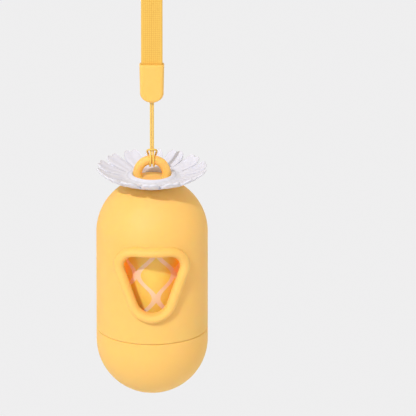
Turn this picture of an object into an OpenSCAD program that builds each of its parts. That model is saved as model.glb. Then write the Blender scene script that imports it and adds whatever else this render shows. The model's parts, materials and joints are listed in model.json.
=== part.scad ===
// Dispenser for a roll of dog waste bags: a round-ended capsule that hangs
// from a wrist strap. The bags leave through the soft-lipped window, and
// the cup at the bottom pulls off to take a new roll.
// The origin is where the wrist loop bears on the hand or hook above, with
// +Z up and the window facing -Y. Lengths are in millimetres.

/* [Capsule] */
// Outside diameter of the capsule
capsule_d = 44; // [42:0.5:46]
// Overall length of the capsule
capsule_l = 88.5; // [87:0.5:92]
// Wall thickness of the two mouldings
wall = 2.6; // [2.4:0.1:2.8]
// Height of the seam above the bottom of the capsule
seam_h = 26.9; // [26:0.1:27.5]
// Length of the plug that holds the cup in the shell
plug_l = 8; // [6:0.5:8]
// Gap that shows as the seam line
seam_gap = 0.16; // [0.1:0.02:0.3]

/* [Window] */
// Width of the clear window
window_w = 22; // [20:0.5:22.5]
// Height of the clear window
window_h = 24; // [22:0.5:24.5]
// Height of the window's middle above the middle of the capsule
window_up = 7.3; // [6.5:0.1:8]
// Radius of the window's two top corners
window_top_r = 4.7; // [4:0.1:5.5]
// Radius of the window's bottom corner
window_bottom_r = 6.2; // [5.5:0.1:7]
// Width of the soft lip round the window
lip_w = 3.7; // [3.4:0.1:4.4]
// Height of the lip above the shell
lip_h = 2.5; // [2:0.1:3]

/* [Hanging loop] */
// Diameter of the bar of the loop
bar_d = 3.6; // [3.2:0.1:3.7]
// Outside width of the loop
loop_w = 15; // [14.4:0.1:15]
// Height of the bar's centre line above the top of the capsule
loop_up = 7.95; // [7.6:0.05:8.4]

/* [Flower collar] */
// Number of petals
petals = 14; // [12:1:18]
// Radius to the tips of the petals
petal_r = 21.9; // [20:0.1:23]
// Radius at which neighbouring petals part
petal_gap_r = 13; // [12.5:0.1:16]
// Thickness of a petal at its tip
petal_edge_t = 0.8; // [0.6:0.1:1.2]
// Depth of the grooves along and between the petals
petal_fold = 0.25; // [0.1:0.05:0.4]

/* [Bag roll] */
// Diameter of the roll of bags
roll_d = 30; // [26:0.5:33]
// Length of the roll
roll_l = 60; // [54:0.5:61]

/* [Strap] */
// Width of the webbing
webbing_w = 8.5; // [8:0.1:9]
// Thickness of the webbing
webbing_t = 1; // [0.8:0.05:1.1]
// Clear height of the wrist loop above its cap
wrist_h = 118.4; // [100:0.1:140]
// Diameter of the finger or hook that fills the top of the loop
bend_d = 12; // [10:1:16]
// Width of the end cap
cap_w = 9.8; // [9.6:0.1:10.4]
// Height of the end cap
cap_h = 15.8; // [15.4:0.1:17]
// Thickness of the end cap
cap_t = 4.6; // [4.4:0.1:5]
// Diameter of one strand of the cord
cord_d = 0.8; // [0.7:0.05:0.9]

/* [Hidden] */

yellow = "#FDD67B";
lip_yellow = "#FCDC86";
strap_yellow = "#FAC95D";
petal_white = "#EDEAEF";
film_yellow = "#F8C965";
steel = "#B8BABD";
rubber_grey = "#5A5A5C";
slack = 1;

// Heights are measured from the middle of the capsule
shell_r = capsule_d / 2;
bore_r = shell_r - wall;
dome_z = capsule_l / 2 - shell_r;
pole_z = capsule_l / 2;
seam_z = seam_h - capsule_l / 2;

// The plug laps half the wall
plug_r = shell_r - wall / 2;
plug_fit = 0.05;
plug_top_z = seam_z + plug_l;
edge = 0.25;
ring_z = seam_z + plug_l / 2;
ring_w = 0.9;
ring_deep = 0.55;
ring_fit = 0.03;
lip_tail = 1.2;
plug_edge = 0.57;
plug_short = 0.1;
groove_free = 0.05;

// Seat of the hanger on top of the dome
seat_drop = 1.65;
seat_z = pole_z - seat_drop;
pad_t = 3;
pad_r = 9;
neck_r = 5.2;
neck_h = 0.6;
foot_z = seat_z + neck_h;
foot_fit = 0.1;
foot_r = loop_w / 2 - foot_fit;
foot_rise = 0.85;
join = 0.2;
foot_round_r = 50;
spigot_w = 5.4;
spigot_fit = 0.05;
spigot_short = 0.2;
washer_r = 6;
washer_t = 0.8;
screw_head_r = 2.6;
screw_head_h = 1.7;
screw_r = 1.3;
screw_l = 6;
screw_tip = 0.2;
washer_fit = 0.1;
recess_w = 0.7;
recess_l = 2.8;
recess_deep = 1;

// Bar of the loop
bar_r = bar_d / 2;
arch_r = loop_w / 2 - bar_r;
loop_z = pole_z + loop_up;
arch_z = loop_z - arch_r;

// Flower: a hub round the foot, and petals that rise and then curl
hub_r = loop_w / 2 + foot_fit;
hub_rise = 2.4;
hub_top_z = pole_z + hub_rise;
hub_fit = 0.03;
hub_bead = [1.5, 0.7, 0.2];
hub_bead_h = [1.4, 0.45, 0.1, 0.4];
hub_step = 0.15;
flange_fit = 0.08;
flange_r = neck_r + flange_fit;
hub_out_r = 10.2;
petal_root_r = 9.6;
petal_slope = 0.344;
petal_taper = 0.09;
curl_r = 16;
curl = 0.038;
saddle_r = 12;
saddle = 0.17;
tip_notch = 0.9;
petal_cols = [-1, -0.8, -0.62, -0.45, -0.3, -0.12, 0, 0.12, 0.3, 0.45, 0.62, 0.8];
petal_rows = [0, 0.17, 0.34, 0.5, 0.66, 0.82, 0.94, 1];
flower_turn = -2;

// Roll of bags, resting on the round of the cup
roll_r = roll_d / 2;
roll_rest = 0.3;
roll_z = -dome_z - sqrt(pow(bore_r, 2) - pow(roll_r, 2)) + roll_rest;
film_step = 0.25;
core_w = 8;
core_t = 4.5;
roll_steps = 72;
core_steps = 36;

// Strap and cord
cap_z = loop_z + 24.1;
cap_top_z = cap_z + cap_h;
cap_corner_r = 1.5;
cap_low_w = 9.3;
cap_round_h = 3.9;
cap_steps = 24;
bend_r = bend_d / 2;
drop = cap_top_z + wrist_h;
bend_z = drop - bend_r;
ply_gap = 0.05;
sewn_l = 8.5;
pocket_w = webbing_w + 0.2;
pocket_t = 2.7;
pocket_l = sewn_l + 0.3;
tack_w = 5.5;
tack_t = 0.25;
tack_l = 0.8;
tack_rows = [1.6, 3.4, 5.2];
peg_r = 0.6;
peg_x = 3.4;
peg_z = cap_z + 5.2;
peg_l = 1.2;
peg_free = 0.2;
knot_z = cap_z + 4.4;
knot_r = 0.8;
knot_tube_r = 0.75;
strand_x = 0.42;
knot_pocket_r = 1.7;
mouth_r = 1.25;
mouth_flare_r = 2;
mouth_h = 0.9;
mouth_flare_h = 0.5;
cord_hole_r = 0.95;
cord_end_z = cap_z + 0.1;
cord_r = cord_d / 2;
cord_sides = 8;
cord_smooth = 2;

// Half of the cord's route, from the cap down the front of the bar, through
// the eye, up behind the bar and over the two legs to the middle of the
// hitch: x, y, and height above the bar's centre line
cord_route = [
    [-0.42, 0, 22],
    [-0.42, 0, 18],
    [-0.42, 0, 14],
    [-0.42, 0, 10],
    [-0.42, -0.1, 7],
    [-0.42, -0.25, 5],
    [-0.45, -0.7, 3.6],
    [-0.5, -1.6, 2.4],
    [-0.55, -2.3, 1],
    [-0.6, -2.4, -0.4],
    [-0.65, -1.8, -1.8],
    [-0.75, -0.5, -2.45],
    [-0.85, 0.9, -2.35],
    [-1, 2.2, -1.2],
    [-1.25, 2.7, 0.3],
    [-1.55, 2.35, 1.7],
    [-1.8, 1.5, 2.7],
    [-1.85, 0.5, 3.5],
    [-1.55, -0.4, 4.15],
    [-1.05, -1, 4.5],
    [-0.5, -1.35, 4.68],
    [0, -1.45, 4.72]
];

// Small vector and sweep functions

function unit(v) = v / norm(v);

// Faces of a surface through n sections of m points each, for sections that
// turn right-handed about the way they advance
function skin(n, m, closed) = [
    for (i = [0:(closed ? n - 1 : n - 2)]) for (j = [0:m - 1])
        let (a = i * m + j, b = i * m + (j + 1) % m, c = ((i + 1) % n) * m)
        each [[a, c + (j + 1) % m, b], [a, c + j, c + (j + 1) % m]]
];

// Ends of an open sweep
function end_faces(n, m) = concat(
    [for (j = [1:m - 2]) [0, j, j + 1]],
    [for (j = [1:m - 2]) [(n - 1) * m, (n - 1) * m + j + 1, (n - 1) * m + j]]
);

// Points of a smooth curve through p, with k steps between neighbours
function smooth(p, k) = concat([
    for (i = [0:len(p) - 2]) for (s = [0:k - 1])
        let (
            a = p[max(i - 1, 0)], b = p[i], c = p[i + 1], d = p[min(i + 2, len(p) - 1)],
            u = s / k
        )
        b + u * ((c - a) / 2 + u * ((2 * a - 5 * b + 4 * c - d) / 2 + u * (3 * b - a - 3 * c + d) / 2))
], [p[len(p) - 1]]);

// Directions of a curve at its points
function tangents(p) = [
    for (i = [0:len(p) - 1]) unit(p[min(i + 1, len(p) - 1)] - p[max(i - 1, 0)])
];

// A side direction carried along the curve without twisting
function carry(t, side, i = 0, out = []) =
    i == len(t) ? out : let (s = unit(side - (side * t[i]) * t[i])) carry(t, s, i + 1, concat(out, [s]));

module tube(p, r, sides) {
    t = tangents(p);
    s = carry(t, [0, 1, 0]);
    points = [
        for (i = [0:len(p) - 1]) for (k = [0:sides - 1])
            let (a = 360 * k / sides)
            p[i] + r * (cos(a) * s[i] + sin(a) * cross(t[i], s[i]))
    ];
    polyhedron(points, concat(skin(len(p), sides, false), end_faces(len(p), sides)));
}

// Webbing and cap

// Slope of the webbing's two legs, which run from side by side in the cap
// to the two sides of the bend
ply_half = ply_gap + webbing_t;
leg_reach = bend_z - cap_top_z;
lean = asin((bend_r + webbing_t) / norm([ply_half, leg_reach])) - atan(ply_half / leg_reach);
bend_steps = 32;

// Side view of the wrist loop, t outside its inner face, down to height low
module loop_view(t, low) {
    inset = webbing_t - t;
    leg = [ply_half - inset * cos(lean), cap_top_z + inset * sin(lean)];
    bend = [for (k = [0:bend_steps])
        let (a = -lean + (180 + 2 * lean) * k / bend_steps)
        [(bend_r + t) * cos(a), bend_z + (bend_r + t) * sin(a)]];
    polygon(concat(
        [[-leg[0], leg[1]], [-leg[0], low], [leg[0], low], leg],
        bend
    ));
}

module wrist_webbing() {
    color(strap_yellow)
    translate([-webbing_w / 2, 0, -drop])
    rotate([90, 0, 90])
    linear_extrude(webbing_w)
    difference() {
        loop_view(webbing_t, cap_top_z - sewn_l);
        loop_view(0, cap_top_z - sewn_l - slack);
    }
}

module webbing_bartack() {
    color(strap_yellow)
    translate([0, 0, -drop])
    for (side = [-1, 1], row = tack_rows)
        translate([-tack_w / 2, side > 0 ? ply_half : -ply_half - tack_t, cap_top_z - row])
        cube([tack_w, tack_t, tack_l]);
}

// Front view of the cap: sides that narrow a little, and a round bottom
module cap_front_view() {
    polygon(concat(
        [[cap_w / 2, cap_top_z], [-cap_w / 2, cap_top_z]],
        [for (k = [0:cap_steps])
            let (a = 180 + 180 * k / cap_steps)
            [cap_low_w / 2 * cos(a), cap_z + cap_round_h * (1 + sin(a))]]
    ));
}

// Plan of the cap: a rectangle with round corners
module cap_plan() {
    x = cap_w / 2 - cap_corner_r;
    y = cap_t / 2 - cap_corner_r;
    square([2 * x, cap_t], center = true);
    square([cap_w, 2 * y], center = true);
    for (i = [-1, 1], j = [-1, 1]) translate([i * x, j * y]) circle(cap_corner_r, $fn = 48);
}

module cap_body() {
    difference() {
        intersection() {
            translate([0, cap_t, 0]) rotate([90, 0, 0]) linear_extrude(2 * cap_t) cap_front_view();
            translate([0, 0, cap_z - slack]) linear_extrude(cap_h + 2 * slack) cap_plan();
        }
        translate([-pocket_w / 2, -pocket_t / 2, cap_top_z - pocket_l])
            cube([pocket_w, pocket_t, pocket_l + slack]);
        translate([0, 0, knot_z - knot_tube_r])
            cylinder(r = knot_pocket_r, h = cap_h - pocket_l, $fn = 48);
        translate([0, 0, cap_z - slack]) cylinder(r = cord_hole_r, h = knot_z - cap_z + slack, $fn = 48);
        translate([0, 0, cap_z - slack]) cylinder(r = mouth_r, h = mouth_h + slack, $fn = 48);
        translate([0, 0, cap_z])
            cylinder(r1 = mouth_flare_r, r2 = mouth_r, h = mouth_flare_h, $fn = 48);
    }
}

module cap_half(side) {
    intersection() {
        cap_body();
        translate([-cap_w, side < 0 ? -cap_t : 0, cap_z - slack])
            cube([2 * cap_w, cap_t, cap_h + 2 * slack]);
    }
}

module strap_cap_front() {
    color(yellow)
    translate([0, 0, -drop])
    difference() {
        cap_half(-1);
        for (i = [-1, 1]) translate([i * peg_x, slack, peg_z]) rotate([90, 0, 0])
            cylinder(r = peg_r, h = peg_l + peg_free + slack, $fn = 32);
    }
}

module strap_cap_back() {
    color(yellow)
    translate([0, 0, -drop]) {
        cap_half(1);
        for (i = [-1, 1]) translate([i * peg_x, slack, peg_z]) rotate([90, 0, 0])
            cylinder(r = peg_r, h = peg_l + slack, $fn = 32);
    }
}

module cord_knot() {
    color(strap_yellow)
    translate([0, 0, -drop]) {
        translate([0, 0, knot_z])
            rotate_extrude($fn = 48) translate([knot_r, 0]) circle(knot_tube_r, $fn = 24);
        translate([0, 0, knot_z]) cylinder(r = knot_r, h = knot_tube_r, center = true, $fn = 24);
        for (i = [-1, 1]) translate([i * strand_x, 0, cap_z + mouth_h])
            cylinder(r = cord_r, h = knot_z - cap_z - mouth_h, $fn = 16);
    }
}

module cord_loop() {
    leg = [[cord_route[0][0], 0, cord_end_z - loop_z]];
    down = concat(leg, [for (p = cord_route) if (p[2] < cord_end_z - loop_z - 1) p]);
    last = len(down) - 1;
    route = concat(down, [for (i = [1:last]) [-down[last - i][0], down[last - i][1], down[last - i][2]]]);
    color(strap_yellow)
    translate([0, 0, loop_z - drop])
    tube(smooth(route, cord_smooth), cord_r, cord_sides);
}

// Shell and cup

// Half profile of a round-ended body of radius r, from height z up
module dome_profile(r, z) {
    intersection() {
        union() {
            translate([0, z]) square([r, dome_z - z]);
            translate([0, dome_z]) circle(r, $fn = 180);
        }
        translate([0, z]) square([r + slack, dome_z + r + slack - z]);
    }
}

module shell_profile() {
    difference() {
        union() {
            difference() {
                dome_profile(shell_r, seam_z);
                dome_profile(bore_r, seam_z - slack);
            }
            intersection() {
                dome_profile(shell_r, seam_z);
                translate([0, seat_z - pad_t]) square([pad_r, pad_t + slack]);
            }
        }
        translate([0, seat_z]) square([shell_r, shell_r]);
        translate([0, seam_z - slack]) square([plug_r, plug_l + slack]);
        polygon([[shell_r + slack, seam_z - slack], [shell_r - edge - slack, seam_z - slack],
                 [shell_r - edge, seam_z], [shell_r, seam_z + edge], [shell_r + slack, seam_z + edge]]);
    }
}

// Centres of the window's corners and the slope of its sides
corner_x = window_w / 2 - window_top_r;
corner_z = window_h / 2 - window_top_r;
low_z = window_bottom_r - window_h / 2;
side_run = norm([corner_x, corner_z - low_z]);
side_angle = asin((window_bottom_r - window_top_r) / side_run) - atan2(corner_x, corner_z - low_z);

// The window's outline as corner centre, radius and outward direction, with
// a few steps along each straight side
arc_steps = 10;
side_steps = 4;

function corner(c, r, from, to) = [
    for (k = [0:arc_steps]) let (a = from + (to - from) * k / arc_steps) [c, r, [cos(a), sin(a)]]
];

function straight(p, q) = [
    for (k = [1:side_steps - 1])
        let (u = k / side_steps) [(1 - u) * p[0] + u * q[0], (1 - u) * p[1] + u * q[1], p[2]]
];

top_right = corner([corner_x, corner_z], window_top_r, side_angle, 90);
top_left = corner([-corner_x, corner_z], window_top_r, 90, 180 - side_angle);
bottom = corner([0, low_z], window_bottom_r, 180 - side_angle, 360 + side_angle);
outline = concat(
    top_right, straight(top_right[arc_steps], top_left[0]),
    top_left, straight(top_left[arc_steps], bottom[0]),
    bottom, straight(bottom[arc_steps], top_right[0])
);

// Front view of the window, grown by g all round
module window_view(g) {
    polygon([for (o = outline) o[0] + (o[1] + g) * o[2]]);
}

module upper_shell() {
    color(yellow)
    translate([0, 0, -drop])
    difference() {
        rotate_extrude($fn = 180) shell_profile();
        translate([0, 0, window_up]) rotate([90, 0, 0]) linear_extrude(shell_r + slack)
            window_view(lip_tail);
        translate([0, 0, seat_z - pad_t / 2])
            cube([spigot_w + 2 * spigot_fit, spigot_w + 2 * spigot_fit, 2 * pad_t], center = true);
    }
}

// Section of the lip: u runs outwards from the window's edge and h up from
// the shell. A round bead stands on the shell, and a tail lines the hole.
bead_steps = 9;
bead_foot = 0.35;
lip_section = concat(
    [[lip_tail, -wall], [0, -wall], [0, 0]],
    [for (k = [1:bead_steps])
        let (a = 180 - 180 * k / (bead_steps + 1))
        [lip_w / 2 * (1 + cos(a)), bead_foot + (lip_h - bead_foot) * sin(a)]],
    [[lip_w, 0], [lip_tail, 0]]
);

// Point of the lip: above the shell it stands square to the surface, and
// below it runs straight in
function lip_point(o, s) =
    let (
        p = o[0] + (o[1] + s[0]) * o[2],
        y = -sqrt(pow(shell_r, 2) - pow(p[0], 2)),
        k = 1 + max(s[1], 0) / shell_r
    )
    [p[0] * k, y * k - min(s[1], 0), p[1] + window_up];

module window_lip() {
    points = [for (o = outline) for (s = lip_section) lip_point(o, s)];
    color(lip_yellow)
    translate([0, 0, -drop])
    polyhedron(points, skin(len(outline), len(lip_section), true));
}

module cup_profile() {
    shoulder_z = seam_z - seam_gap;
    difference() {
        union() {
            mirror([0, 1]) dome_profile(shell_r, -shoulder_z);
            translate([0, shoulder_z - slack])
                square([plug_r - plug_fit, plug_l - plug_short + seam_gap + slack]);
        }
        mirror([0, 1]) dome_profile(bore_r, -plug_top_z - slack);
        translate([plug_r - ring_deep - plug_fit, ring_z - ring_w / 2]) square([plug_r, ring_w]);
        polygon([[shell_r + slack, shoulder_z + slack], [shell_r - edge - slack, shoulder_z + slack],
                 [shell_r - edge, shoulder_z], [shell_r, shoulder_z - edge],
                 [shell_r + slack, shoulder_z - edge]]);
        translate([plug_r - plug_fit, plug_top_z - plug_short]) rotate(45)
            square(sqrt(2) * plug_edge, center = true);
    }
}

module bottom_cup() {
    color(yellow)
    translate([0, 0, -drop])
    rotate_extrude($fn = 180) cup_profile();
}

module friction_ring() {
    inner = plug_r - plug_fit - ring_deep + groove_free;
    outer = plug_r - ring_fit;
    color(rubber_grey)
    translate([0, 0, -drop])
    rotate_extrude($fn = 180)
    translate([inner, ring_z - ring_w / 2 + groove_free])
    square([outer - inner, ring_w - 2 * groove_free]);
}

// Hanger

module hanger() {
    color(yellow)
    translate([0, 0, -drop])
    difference() {
        union() {
            translate([0, 0, arch_z]) rotate([90, 0, 0])
                rotate_extrude(angle = 180, $fn = 96) translate([arch_r, 0]) circle(bar_r, $fn = 48);
            for (i = [-1, 1]) translate([i * arch_r, 0, foot_z])
                cylinder(r = bar_r, h = arch_z - foot_z, $fn = 48);
            intersection() {
                translate([0, 0, pole_z + foot_rise - foot_round_r]) sphere(foot_round_r, $fn = 360);
                translate([0, 0, foot_z]) cylinder(r = foot_r, h = shell_r, $fn = 96);
            }
            translate([0, 0, seat_z]) cylinder(r = neck_r, h = neck_h + join, $fn = 96);
            translate([0, 0, seat_z - (pad_t - spigot_short - join) / 2])
                cube([spigot_w, spigot_w, pad_t - spigot_short + join], center = true);
        }
        translate([0, 0, seat_z - pad_t - slack])
            cylinder(r = screw_r, h = screw_l - washer_t + screw_tip + slack, $fn = 32);
    }
}

module hanger_washer() {
    color(steel)
    translate([0, 0, seat_z - pad_t - washer_t - drop])
    difference() {
        cylinder(r = washer_r, h = washer_t, $fn = 64);
        translate([0, 0, -slack]) cylinder(r = screw_r + washer_fit, h = washer_t + 2 * slack, $fn = 48);
    }
}

module hanger_screw() {
    color(steel)
    translate([0, 0, seat_z - pad_t - washer_t - drop])
    difference() {
        union() {
            cylinder(r = screw_r, h = screw_l, $fn = 32);
            translate([0, 0, -screw_head_h]) cylinder(r = screw_head_r, h = screw_head_h, $fn = 48);
        }
        for (a = [0, 90]) rotate(a) translate([0, 0, -screw_head_h])
            cube([recess_l, recess_w, 2 * recess_deep], center = true);
    }
}

// Flower collar

// Height of the underside of the petals at radius r
function under_z(r) =
    seat_z + petal_slope * (r - sqrt(pow(shell_r, 2) - pow(seat_z - dome_z, 2)))
    + curl * pow(max(r - curl_r, 0), 2);

// Thickness of the petals at radius r: thin at the tips, and swelling into
// the hub
function thick(r) =
    petal_edge_t + petal_taper * (petal_r - r) + saddle * pow(max(saddle_r - r, 0), 2);

// Reach of a petal at t, from -1 at one edge to 1 at the other: a round
// end with a small notch in its middle
function reach_r(t) =
    petal_gap_r + (petal_r - petal_gap_r) * pow(1 - pow(abs(t), 4), 0.55)
    - tip_notch * pow(max(0, 1 - abs(t) / 0.3), 1.5);

// Grooves along the middle of each petal and between the petals
function fold_z(t, v) =
    petal_fold * (0.5 - 0.5 * cos(360 * t) - pow(t, 4)) * (0.4 + 0.6 * min(1, 2 * v));

// Section of the flower at step i: out along the top and back underneath
function petal_section(i) =
    let (m = len(petal_cols), t = petal_cols[i % m], a = 360 / petals * (floor(i / m) + (t + 1) / 2))
    [for (side = [1, 0]) for (k = [0:len(petal_rows) - 1])
        let (
            v = petal_rows[side == 1 ? k : len(petal_rows) - 1 - k],
            r = petal_root_r + (reach_r(t) - petal_root_r) * v
        )
        [r * cos(a), r * sin(a), under_z(r) + fold_z(t, v) * (side == 1 ? 1 : 0.6) + side * thick(r)]
    ];

module flower_hub() {
    flat_r = sqrt(pow(shell_r, 2) - pow(seat_z - dome_z, 2));
    rotate_extrude($fn = 144)
    polygon([
        [flange_r, seat_z + hub_fit],
        [flat_r, seat_z + hub_fit],
        [hub_out_r, under_z(hub_out_r) - hub_step],
        [hub_out_r, hub_top_z - hub_bead_h[0]],
        [hub_r + hub_bead[0], hub_top_z - hub_bead_h[1]],
        [hub_r + hub_bead[1], hub_top_z],
        [hub_r + hub_bead[2], hub_top_z - hub_bead_h[2]],
        [hub_r, hub_top_z - hub_bead_h[3]],
        [hub_r, foot_z - hub_fit],
        [flange_r, foot_z - hub_fit]
    ]);
}

module flower_collar() {
    n = petals * len(petal_cols);
    points = [for (i = [0:n - 1]) each petal_section(i)];
    color(petal_white)
    translate([0, 0, -drop])
    rotate(flower_turn - 90 - 180 / petals) {
        polyhedron(points, skin(n, 2 * len(petal_rows), true));
        flower_hub();
    }
}

// Roll of bags: film wound without a core, with the step of its free edge
module bag_roll() {
    color(film_yellow)
    translate([0, 0, roll_z - drop])
    linear_extrude(roll_l)
    difference() {
        polygon([for (k = [0:roll_steps])
            let (a = 360 * k / roll_steps, r = roll_r - film_step * (1 - k / roll_steps))
            r * [cos(a), sin(a)]]);
        polygon([for (k = [0:core_steps - 1])
            let (a = 360 * k / core_steps)
            [core_w / 2 * cos(a), core_t / 2 * sin(a)]]);
    }
}

wrist_webbing();
webbing_bartack();
strap_cap_front();
strap_cap_back();
cord_knot();
cord_loop();
upper_shell();
window_lip();
hanger();
hanger_washer();
hanger_screw();
flower_collar();
bottom_cup();
friction_ring();
bag_roll();
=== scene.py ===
"""Bag dispenser for dog walks, dressed for its picture: a round-ended capsule
with a soft-lipped window, a white flower round its hanging loop, and a wrist
strap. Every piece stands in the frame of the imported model, in metres."""

import bmesh
import bpy
import json
import math
import numpy as np
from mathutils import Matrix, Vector

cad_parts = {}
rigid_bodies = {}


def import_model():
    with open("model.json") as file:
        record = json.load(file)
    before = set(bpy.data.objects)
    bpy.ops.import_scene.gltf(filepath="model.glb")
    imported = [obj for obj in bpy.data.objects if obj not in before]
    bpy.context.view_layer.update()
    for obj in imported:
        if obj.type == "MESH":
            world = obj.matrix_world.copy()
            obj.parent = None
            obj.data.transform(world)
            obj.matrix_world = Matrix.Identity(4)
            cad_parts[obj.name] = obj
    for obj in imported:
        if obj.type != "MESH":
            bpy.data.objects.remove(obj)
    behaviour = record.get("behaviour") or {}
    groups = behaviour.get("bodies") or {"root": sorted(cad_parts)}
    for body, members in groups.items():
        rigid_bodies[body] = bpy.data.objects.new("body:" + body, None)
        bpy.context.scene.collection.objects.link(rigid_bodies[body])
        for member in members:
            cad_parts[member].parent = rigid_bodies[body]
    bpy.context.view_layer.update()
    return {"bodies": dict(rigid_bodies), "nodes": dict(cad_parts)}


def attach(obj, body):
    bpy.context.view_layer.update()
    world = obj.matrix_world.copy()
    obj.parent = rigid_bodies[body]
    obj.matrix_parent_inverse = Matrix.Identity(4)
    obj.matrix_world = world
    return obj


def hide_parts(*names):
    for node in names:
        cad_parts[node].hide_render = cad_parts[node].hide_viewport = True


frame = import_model()

# Camera
# It looks down at the holder from straight in front. The picture is as wide
# as 164 mm at the capsule, which hangs to the left of its middle.
view_middle = Vector((0.02206, 0, -0.1785))
view_width = 0.164
view_distance = 5
looks_down = math.radians(19.5)
sensor_w = 36
camera = bpy.data.objects.new("camera", bpy.data.cameras.new("camera"))
bpy.context.scene.collection.objects.link(camera)
bpy.context.scene.camera = camera
camera.location = view_middle + view_distance * Vector((0, -math.cos(looks_down), math.sin(looks_down)))
camera.rotation_euler = (math.pi / 2 - looks_down, 0, 0)
camera.data.sensor_width = sensor_w
camera.data.lens = sensor_w * view_distance / view_width
camera.data.clip_start = 0.1
camera.data.clip_end = 100

# Cord
# Thin braided polyester cord, doubled: both ends hang from the cap, and the
# loop is hitched round the bar of the hanger.
CAPSULE_MIDDLE = 210.5
LOOP_BAR_Z = 52.2
CAP_Z = 76.3
cord_d = 0.8
cord_end_z = CAP_Z + 0.1
cord_step = 0.14
cord_sides = 16
ply_count = 4
ply_depth = 0.05
lay_length = 2.2

# Left half of the route: x, y, and height above the middle of the bar
cord_route = np.array([
    [-0.42, 0, cord_end_z - LOOP_BAR_Z], [-0.42, 0, 22], [-0.42, 0, 18], [-0.42, 0, 14],
    [-0.42, 0, 10], [-0.42, -0.1, 7], [-0.42, -0.25, 5], [-0.45, -0.7, 3.6], [-0.5, -1.6, 2.4],
    [-0.55, -2.3, 1], [-0.6, -2.4, -0.4], [-0.65, -1.8, -1.8], [-0.75, -0.5, -2.45],
    [-0.85, 0.9, -2.35], [-1, 2.2, -1.2], [-1.25, 2.7, 0.3], [-1.55, 2.35, 1.7], [-1.8, 1.5, 2.7],
    [-1.85, 0.5, 3.5], [-1.55, -0.4, 4.15], [-1.05, -1, 4.5], [-0.5, -1.35, 4.68], [0, -1.45, 4.72]])


def through(points, steps):
    """Smooth curve through the points: between two of them, the cubic whose
    slope at each point is half the way from the point before to the one after."""
    p = np.vstack([points[:1], points, points[-1:]])
    u = (np.arange(steps) / steps)[None, :, None]
    a, b, c, d = (p[k:len(p) - 3 + k, None, :] for k in range(4))
    curve = b + u * ((c - a) / 2 + u * ((2 * a - 5 * b + 4 * c - d) / 2 + u * (3 * b - a - 3 * c + d) / 2))
    return np.vstack([curve.reshape(-1, 3), points[-1:]])


def evenly(curve, spacing):
    """Points along the curve, equal steps of length apart."""
    along = np.concatenate([[0], np.cumsum(np.linalg.norm(np.diff(curve, axis=0), axis=1))])
    at = np.linspace(0, along[-1], int(along[-1] / spacing) + 2)
    return np.stack([np.interp(at, along, curve[:, k]) for k in range(3)], 1), at


def side_ways(curve, first):
    """Two directions square to the curve at each point. The first is carried
    along from ring to ring, so that the section doesn't twist."""
    ahead = np.gradient(curve, axis=0)
    ahead /= np.linalg.norm(ahead, axis=1)[:, None]
    side = np.empty_like(curve)
    last = np.array(first, float)
    for i, t in enumerate(ahead):
        last = last - last.dot(t) * t
        last = side[i] = last / np.linalg.norm(last)
    return side, np.cross(ahead, side)


def grid(points, round_u=False, round_v=False):
    """Surface through an array of points, u by v, in mm from the capsule's
    middle. A round direction joins its last row to its first. A row of equal
    points closes an end. UV is the distance along each direction, in mm."""
    n, m = points.shape[:2]
    i, j = np.broadcast_arrays(np.arange(n if round_u else n - 1)[:, None],
                               np.arange(m if round_v else m - 1)[None, :])
    corners = [(i, j), (i + 1, j), (i + 1, j + 1), (i, j + 1)]
    faces = np.stack([(a % n) * m + b % m for a, b in corners], -1).reshape(-1, 4)
    u = np.cumsum(np.linalg.norm(np.roll(points, -1, 0) - points, axis=2).max(1))
    v = np.cumsum(np.linalg.norm(np.roll(points, -1, 1) - points, axis=2).max(0))
    u, v = np.concatenate([[0], u]), np.concatenate([[0], v])
    uv = np.stack([np.stack([u[a], v[b]], -1) for a, b in corners], -2).reshape(-1, 4, 2)
    a, b, c, d = (points.reshape(-1, 3)[faces[:, k]] for k in range(4))
    volume = np.einsum("ij,ij->", a, np.cross(b, c)) + np.einsum("ij,ij->", a, np.cross(c, d))
    if volume < 0:
        faces, uv = faces[:, ::-1], uv[:, ::-1]
    return points.reshape(-1, 3), faces, uv


def closed_ends(rings):
    """The same rings with each open end drawn in to its middle point."""
    first = np.broadcast_to(rings[:1].mean(1, keepdims=True), rings[:1].shape)
    last = np.broadcast_to(rings[-1:].mean(1, keepdims=True), rings[-1:].shape)
    return np.concatenate([first, rings, last])


def piece(name, surfaces, material, body, relief=None, sharp=50):
    """One mesh object of closed surfaces, placed in the model's frame. Points
    that meet are joined, and edges that turn by more than the sharp angle
    stay crisp."""
    starts = np.cumsum([0] + [len(v) for v, faces, uv in surfaces])
    verts = (np.vstack([v for v, faces, uv in surfaces]) - [0, 0, CAPSULE_MIDDLE]) / 1000
    faces = np.vstack([faces + start for (v, faces, uv), start in zip(surfaces, starts)])
    mesh = bpy.data.meshes.new(name)
    mesh.from_pydata(verts.tolist(), [], faces.tolist())
    corners = np.vstack([uv.reshape(-1, 2) for v, faces, uv in surfaces])
    mesh.uv_layers.new(name="surface").uv.foreach_set("vector", corners.astype(np.float32).ravel())
    if relief is not None:
        mesh.attributes.new("relief", "FLOAT", "POINT").data.foreach_set("value", relief.astype(np.float32).ravel())
    whole = bmesh.new()
    whole.from_mesh(mesh)
    bmesh.ops.remove_doubles(whole, verts=whole.verts, dist=2e-7)
    whole.to_mesh(mesh)
    whole.free()
    mesh.shade_smooth()
    mesh.set_sharp_from_angle(angle=math.radians(sharp))
    mesh.materials.append(material)
    made = bpy.data.objects.new(name, mesh)
    bpy.context.scene.collection.objects.link(made)
    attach(made, body)
    return made


def hex_colour(text):
    """Linear colour of an sRGB hex value."""
    c = np.array([int(text[k:k + 2], 16) for k in (1, 3, 5)]) / 255
    return (*np.where(c <= 0.04045, c / 12.92, ((c + 0.055) / 1.055) ** 2.4), 1.0)


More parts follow.
